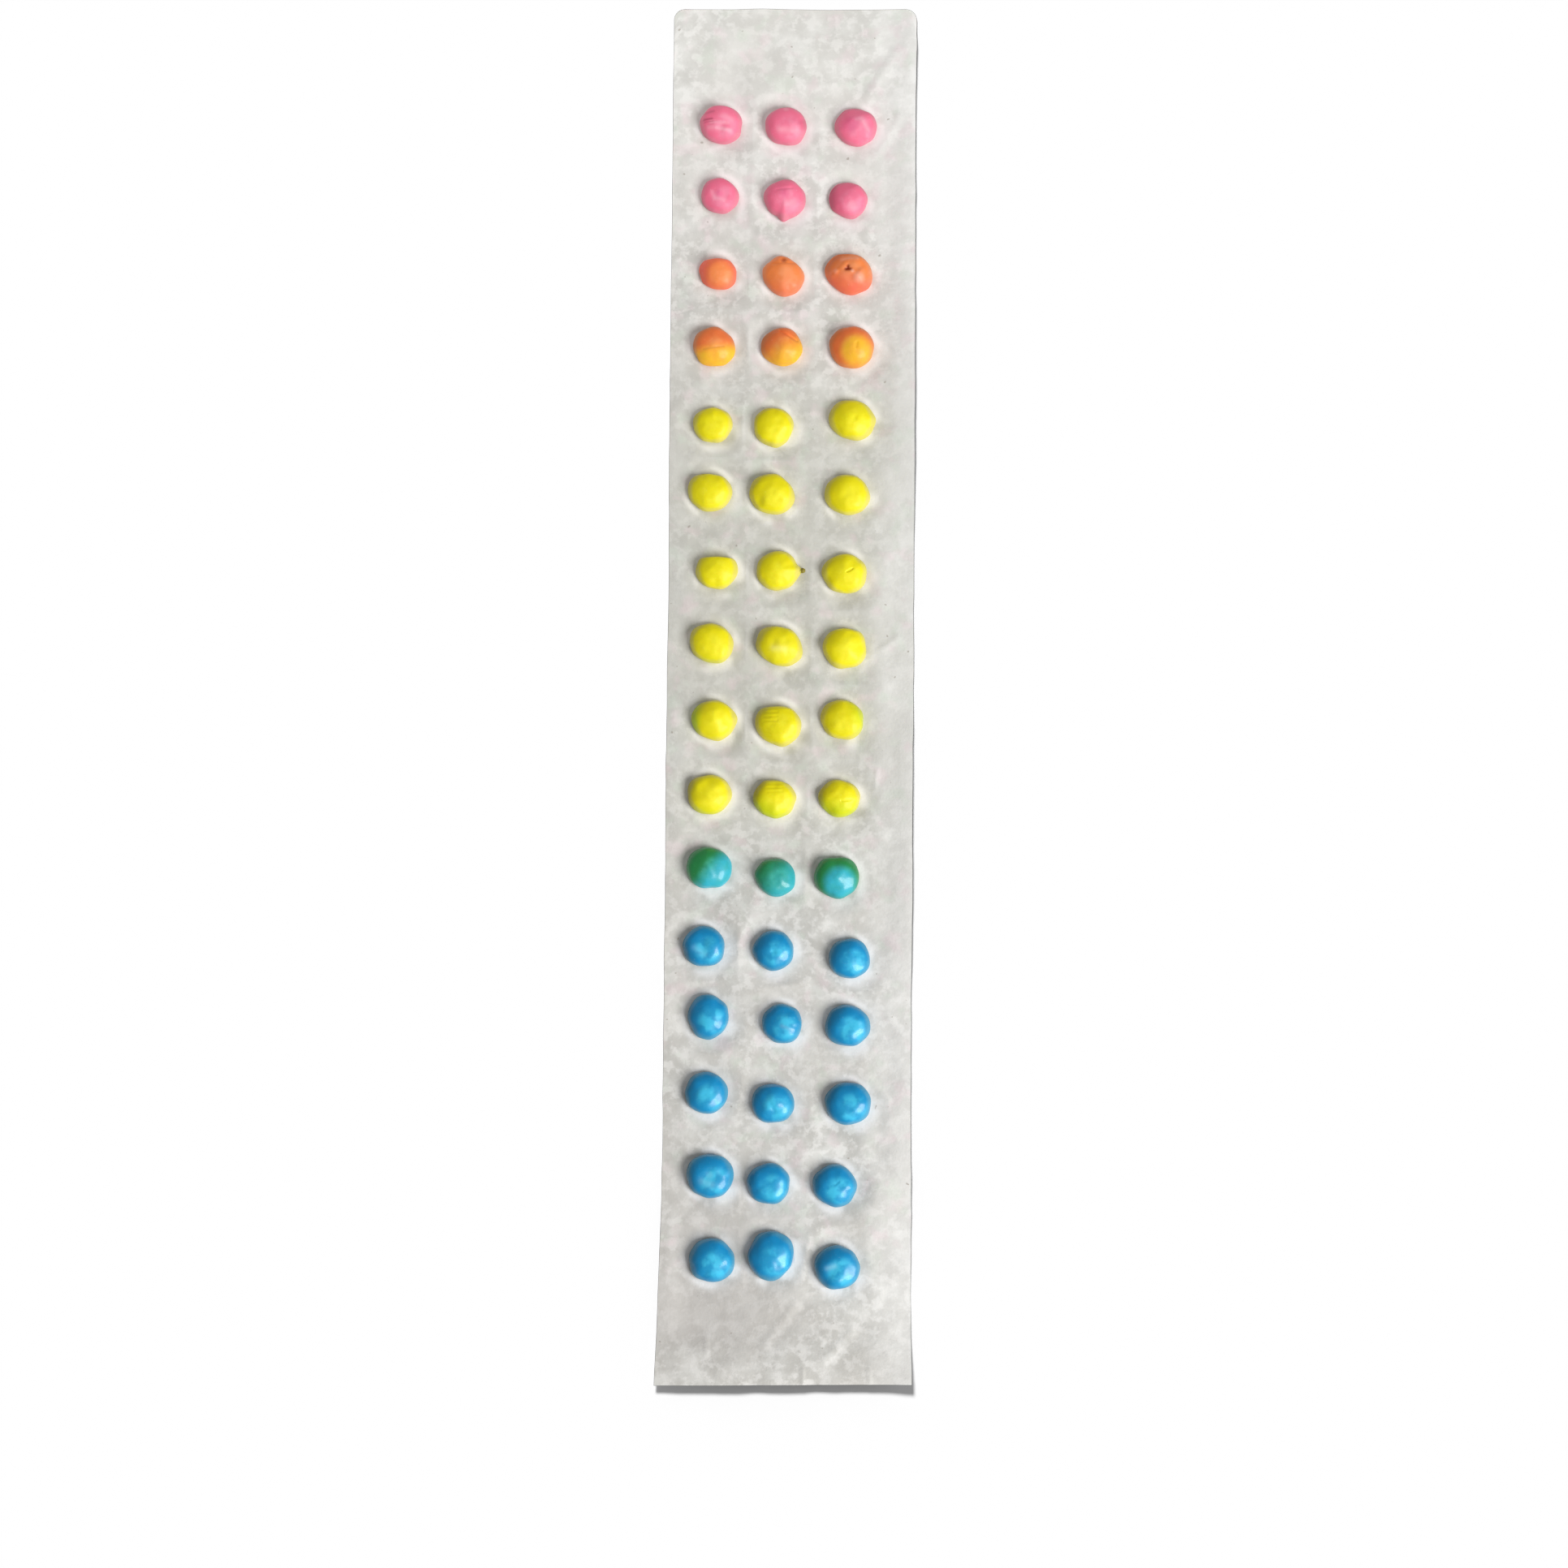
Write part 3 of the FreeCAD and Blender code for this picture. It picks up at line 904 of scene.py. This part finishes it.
def paper_light_and_shade(n, across, along, colour):
    """Painted shade under the yellow rows, painted light at the whiter head, painted shade on the tail's left
    and along the left side, and paler towards the right edge.
    """
    past_tail = n.ramp(along, -60 * MM, 0 * MM)
    before_head = n.ramp(along, 40 * MM, 85 * MM, 1.0, 0.0)
    middle = n.math("MULTIPLY", past_tail, before_head)
    # Painted shade: the middle of the strip, under the yellow rows, is darker.
    colour = lay(n, colour, "painted_shade_middle", n.math("MULTIPLY", middle, TINTS["painted_shade_middle"][1]))
    # Painted light: the head end is whiter.
    colour = lay(n, colour, "painted_light_head", spread(n, "painted_light_head", along, 60 * MM, 125 * MM))
    # Painted shade on the tail's left, a little less at the very end.
    near_tail = n.ramp(along, -90 * MM, -125 * MM)
    less_shade_at_end = n.ramp(along, -139 * MM, -131 * MM, 0.25, 1.0)
    on_left = spread(n, "painted_shade_tail", across, 14 * MM, -16 * MM)
    painted_shade_tail = n.math("MULTIPLY", n.math("MULTIPLY", near_tail, less_shade_at_end), on_left)
    colour = lay(n, colour, "painted_shade_tail", painted_shade_tail)
    # Painted shade along the left side.
    colour = lay(n, colour, "shaded", spread(n, "shaded", across, 8 * MM, -20 * MM))
    # Paler towards the right edge.
    return lay(n, colour, "paler_right_side", spread(n, "paler_right_side", across, 13 * MM, 24 * MM))


def paper_tints(n, place, along, colour):
    """Faint rosy and greenish patches among the buttons."""
    among_drops = n.ramp(along, -124 * MM, -112 * MM)
    shift = n.add("ShaderNodeVectorMath", operation="ADD")
    n.link(place, shift.inputs[0])
    shift.inputs[1].default_value = GREENISH_SHIFT
    for where, tint in ((place, "rosy"), (shift.outputs[0], "greenish")):
        patch = spread(n, tint, n.noise(where, 5 * MM, detail=2.0), 0.54, 0.70)
        colour = lay(n, colour, tint, n.math("MULTIPLY", patch, among_drops))
    return colour


def paper_deposits(n, place, grain, colour):
    """The sugar dust round the buttons, which is painted light where it is broader on their lower right, the
    colours that bled out of them, and a few brown specks.
    """
    # The dust ring, partly painted light.
    dust = n.math("MULTIPLY", n.attribute("halo").outputs["Fac"], TINTS["dust"][1])
    colour = lay(n, colour, "dust", dust)
    stain = n.attribute("bleed")
    amount = n.math("MULTIPLY", stain.outputs["Alpha"], n.ramp(grain, 0.3, 0.7, 0.75, 1.1))
    colour = n.mix(amount, colour, stain.outputs["Color"])
    return lay(n, colour, "speck", spread(n, "speck", n.noise(place, 1.7 * MM, detail=1.0), 0.76, 0.80))


def paper_material():
    """White paper gone grey and blotchy, with fibres, specks and the buttons' colours bleeding in, and
    painted light and shade over it.
    """
    n = Nodes("cockled_paper")
    place = n.attribute("sheet_place").outputs["Vector"]
    axes = n.add("ShaderNodeSeparateXYZ")
    n.link(place, axes.inputs[0])
    across, along = axes.outputs["X"], axes.outputs["Y"]
    grain = n.noise(place, 0.5 * MM, detail=5.0, roughness=0.65)
    colour = paper_light_and_shade(n, across, along, paper_blotches(n, place))
    colour = paper_deposits(n, place, grain, paper_tints(n, place, along, colour))
    n.link(colour, n.shader.inputs["Base Color"])
    n.link(n.ramp(grain, 0.2, 0.8, 0.62, 0.82), n.shader.inputs["Roughness"])
    n.shader.inputs["Specular IOR Level"].default_value = 0.3
    soft = n.bump(n.noise(place, 3.4 * MM, detail=3.0, roughness=0.6), distance=0.22 * MM, strength=0.7)
    fibres = n.bump(grain, distance=0.045 * MM, strength=0.8, under=soft)
    n.link(fibres, n.shader.inputs["Normal"])
    return n.material


# Each batch of sugar. Colours: its base, the milky patches of its crown, partly painted sheen on its lit
# side, its dusty rim, the colour that runs into it, and the colour of its brown marks and of its painted
# shade. Amounts: how strong the rim (edge) and the dust are, how rough and how glossy (coat) it dried, how
# far light soaks in (glow), how much wider than long it is (stretch), how full its sides are, and how much
# painted shade lies on the side away from the key light.
SUGARS = {
    "pink_candy": dict(
        base="F07493", pale_sugar_and_sheen_colour="F392AD", rim="DC8697", run="E85A8C", brown_and_shade_colour="A8445E", edge=0.8, dust=0.14,
        rough=0.52, coat=0.05, glow=0.25, stretch=0.045, fullness=0.52, painted_shade_amount=0.1,
    ),
    "orange_candy": dict(
        base="F58A48", pale_sugar_and_sheen_colour="FAA06C", rim="DE9570", run="EE6A58", brown_and_shade_colour="8C1E08", edge=0.6, dust=0.10,
        rough=0.45, coat=0.12, glow=0.25, stretch=0.055, fullness=0.56, painted_shade_amount=0.0,
    ),
    "amber_candy": dict(
        base="EC7A40", pale_sugar_and_sheen_colour="F59F5E", rim="CC8A62", run="F8BC32", brown_and_shade_colour="7C5C34", edge=0.6, dust=0.08,
        rough=0.45, coat=0.12, glow=0.25, stretch=0.035, fullness=0.56, painted_shade_amount=0.3,
    ),
    "yellow_candy": dict(
        base="EDE10C", pale_sugar_and_sheen_colour="F8EE2E", rim="CFC67C", run="A6CC10", brown_and_shade_colour="5E4E12", edge=0.6, dust=0.05,
        rough=0.50, coat=0.08, glow=0.25, stretch=0.065, fullness=0.54, painted_shade_amount=0.28,
    ),
    "green_candy": dict(
        base="238A48", pale_sugar_and_sheen_colour="50BE98", rim="4E8C68", run="34B4C8", brown_and_shade_colour="24502C", edge=0.5, dust=0.05,
        rough=0.42, coat=0.50, glow=0.12, stretch=0.045, fullness=0.50, painted_shade_amount=0.1,
    ),
    "blue_candy": dict(
        base="028AC2", pale_sugar_and_sheen_colour="48CEF0", rim="5A9CB0", run="0F8FA6", brown_and_shade_colour="0E4A5C", edge=0.6, dust=0.05,
        rough=0.42, coat=0.50, glow=0.12, stretch=0.02, fullness=0.50, painted_shade_amount=0.15,
    ),
}


def sugar_material(name, look):
    """Hard dried icing: milky patches on the crown, kept to its lit side where they are partly painted sheen,
    deeper at the rim, finely grained outside, and darker with painted shade on the side away from the key
    light.
    """
    n = Nodes(name.replace("candy", "sugar"))
    shift = n.add("ShaderNodeVectorMath", operation="ADD")
    n.link(n.add("ShaderNodeTexCoord").outputs["Object"], shift.inputs[0])
    n.link(n.attribute("lot").outputs["Vector"], shift.inputs[1])
    place = shift.outputs[0]
    cloud = n.noise(place, 2.2 * MM, detail=4.0, roughness=0.55)
    patch = n.noise(place, 2.6 * MM, detail=2.0)
    grain = n.noise(place, 0.42 * MM, detail=4.0, roughness=0.6)
    outward = n.math("ADD", n.attribute("outward").outputs["Fac"], n.ramp(cloud, 0.2, 0.8, -0.06, 0.06))
    # Painted sheen: the milky patches show only on the lit lower right of each drop.
    milky = n.math("MULTIPLY", n.attribute("milky").outputs["Fac"], n.ramp(patch, 0.38, 0.62, 0.2, 0.75))
    ran = n.math("MULTIPLY", n.attribute("run").outputs["Fac"], n.ramp(cloud, 0.3, 0.6, 0.75, 1.0))
    pale_sugar_and_sheen_colour = linear(look["pale_sugar_and_sheen_colour"])
    colour = n.mix(n.ramp(outward, 0.76, 1.0, 0.0, look["edge"]), linear(look["base"]), linear(look["rim"]))
    colour = n.mix(milky, colour, pale_sugar_and_sheen_colour)
    colour = n.mix(ran, colour, linear(look["run"]))
    colour = n.mix(n.ramp(grain, 0.60, 0.78, 0.0, look["dust"]), colour, linear("FFFFFF"))
    # Pale patches, some of them painted highlights.
    colour = n.mix(n.attribute("bloom").outputs["Fac"], colour, (pale_sugar_and_sheen_colour + 1) / 2)
    # Brown marks, and painted shade on the side away from the key light and in dents and grooves.
    colour = n.mix(n.attribute("burn").outputs["Fac"], colour, linear(look["brown_and_shade_colour"]))
    n.link(colour, n.shader.inputs["Base Color"])
    roughness = n.ramp(grain, 0.25, 0.75, look["rough"] - 0.05, look["rough"] + 0.10)
    n.link(roughness, n.shader.inputs["Roughness"])
    for key, value in (
        ("Subsurface Weight", look["glow"]),
        ("Subsurface Radius", (1.0, 0.8, 0.7)),
        ("Subsurface Scale", 0.6 * MM),
        ("Specular IOR Level", 0.25),
        ("Coat Weight", look["coat"]),
        ("Coat Roughness", 0.20),
    ):
        n.shader.inputs[key].default_value = value
    pits = n.bump(cloud, distance=0.14 * MM, strength=0.5)
    fine = n.bump(grain, distance=0.03 * MM, strength=0.7, under=pits)
    n.link(fine, n.shader.inputs["Normal"])
    return n.material


def build_buttons():
    materials = {slot: sugar_material(slot, look) for slot, look in SUGARS.items()}
    for number, spot in enumerate(SPOTS):
        slot_name = BUTTON_SLOTS[spot.name]
        sugar_drop(spot, number, materials[slot_name], slot_name)


# --- the room ---------------------------------------------------------------

def follow_lowest(floor):
    """The table top stays under the strip: where the ends bend down past it, it sinks to the lowest one."""
    sink = floor.driver_add("location", 2).driver
    sink.type = "MIN"
    band_ends = [(name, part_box(name)[side].y) for name in BANDS for side in (0, 1)]
    for number, (name, y) in enumerate(band_ends):
        marker = bpy.data.objects.new(f"marker_{number:02d}", None)
        marker.parent = frame["bodies"][name]
        marker.location = (0, y, floor.location.z)
        bpy.context.scene.collection.objects.link(marker)
        height = sink.variables.new()
        height.type = "TRANSFORMS"
        height.targets[0].id = marker
        height.targets[0].transform_type = "LOC_Z"
        height.targets[0].transform_space = "WORLD_SPACE"


TABLE_HALF = 2.0
TABLE_GAP = 0.05 * MM


def add_floor():
    """A plain pale table, just under the paper."""
    corners = TABLE_HALF * np.array([(-1, -1, 0), (1, -1, 0), (1, 1, 0), (-1, 1, 0)])
    floor = make_mesh("table_top", corners, [(0, 1, 2, 3)], place=(0, 0, -TABLE_GAP))
    n = Nodes("pale_table")
    place = n.add("ShaderNodeTexCoord").outputs["Object"]
    colour = n.mix(n.noise(place, 40 * MM, detail=3.0), linear("FDFDFD"), linear("FAFAFA"))
    n.link(colour, n.shader.inputs["Base Color"])
    n.shader.inputs["Roughness"].default_value = 0.8
    floor.data.materials.append(n.material)
    floor.is_shadow_catcher = True
    follow_lowest(floor)
    return floor


def add_softbox(name, direction, distance, size, power):
    light = bpy.data.lights.new(name, "AREA")
    light.shape = "DISK"
    light.size = size
    light.energy = power
    lamp = bpy.data.objects.new(name, light)
    lamp.location = Vector(direction).normalized() * distance
    lamp.rotation_euler = (-lamp.location).to_track_quat("-Z", "Y").to_euler()
    bpy.context.scene.collection.objects.link(lamp)
    return lamp


ROOM_BRIGHTNESS = 0.26


def add_light(floor):
    """A soft key light for the strip, beyond the tail's right side, and a weak one close to the head, in a
    white room that the camera sees as plain white. A lamp behind the head lights only the table, so that its
    shadow of the tail and the right side stands out."""
    key = add_softbox("key", (0.80, -0.53, 0.74), distance=1.2, size=0.80, power=16.8)
    fill = add_softbox("fill", (-0.35, 0.85, 0.45), distance=0.25, size=0.16, power=0.12)
    fill.visible_glossy = False
    back = add_softbox("back", (-0.17, 0.60, 0.80), distance=0.9, size=0.22, power=10.0)
    for lamp, state in ((key, "EXCLUDE"), (fill, "EXCLUDE"), (back, "INCLUDE")):
        table = bpy.data.collections.new(f"table_for_{lamp.name}")
        table.objects.link(floor)
        table.collection_objects[0].light_linking.link_state = state
        lamp.light_linking.receiver_collection = table
    world = bpy.data.worlds.new("white_room")
    world.use_nodes = True
    nodes = world.node_tree.nodes
    links = world.node_tree.links
    seen = nodes.new("ShaderNodeMapRange")
    seen.inputs["To Min"].default_value = ROOM_BRIGHTNESS
    links.new(nodes.new("ShaderNodeLightPath").outputs["Is Camera Ray"], seen.inputs["Value"])
    links.new(seen.outputs["Result"], nodes["Background"].inputs["Strength"])
    nodes["Background"].inputs["Color"].default_value = (1, 1, 1, 1)
    bpy.context.scene.world = world
    bpy.context.scene.view_settings.view_transform = "Standard"


CAMERA_LENS = 70
CAMERA_PLACE = (6.2 * MM, -59.6 * MM, 627.5 * MM)
CAMERA_TURN = (3.63, 0.64, 0.46)


def add_camera():
    """Almost straight above the strip, leaning a little from the tail end."""
    camera = bpy.data.objects.new("camera", bpy.data.cameras.new("camera"))
    camera.data.lens = CAMERA_LENS
    camera.location = CAMERA_PLACE
    camera.rotation_euler = [math.radians(angle) for angle in CAMERA_TURN]
    bpy.context.scene.collection.objects.link(camera)
    bpy.context.scene.camera = camera


build_paper(paper_material())
build_buttons()
add_light(add_floor())
add_camera()
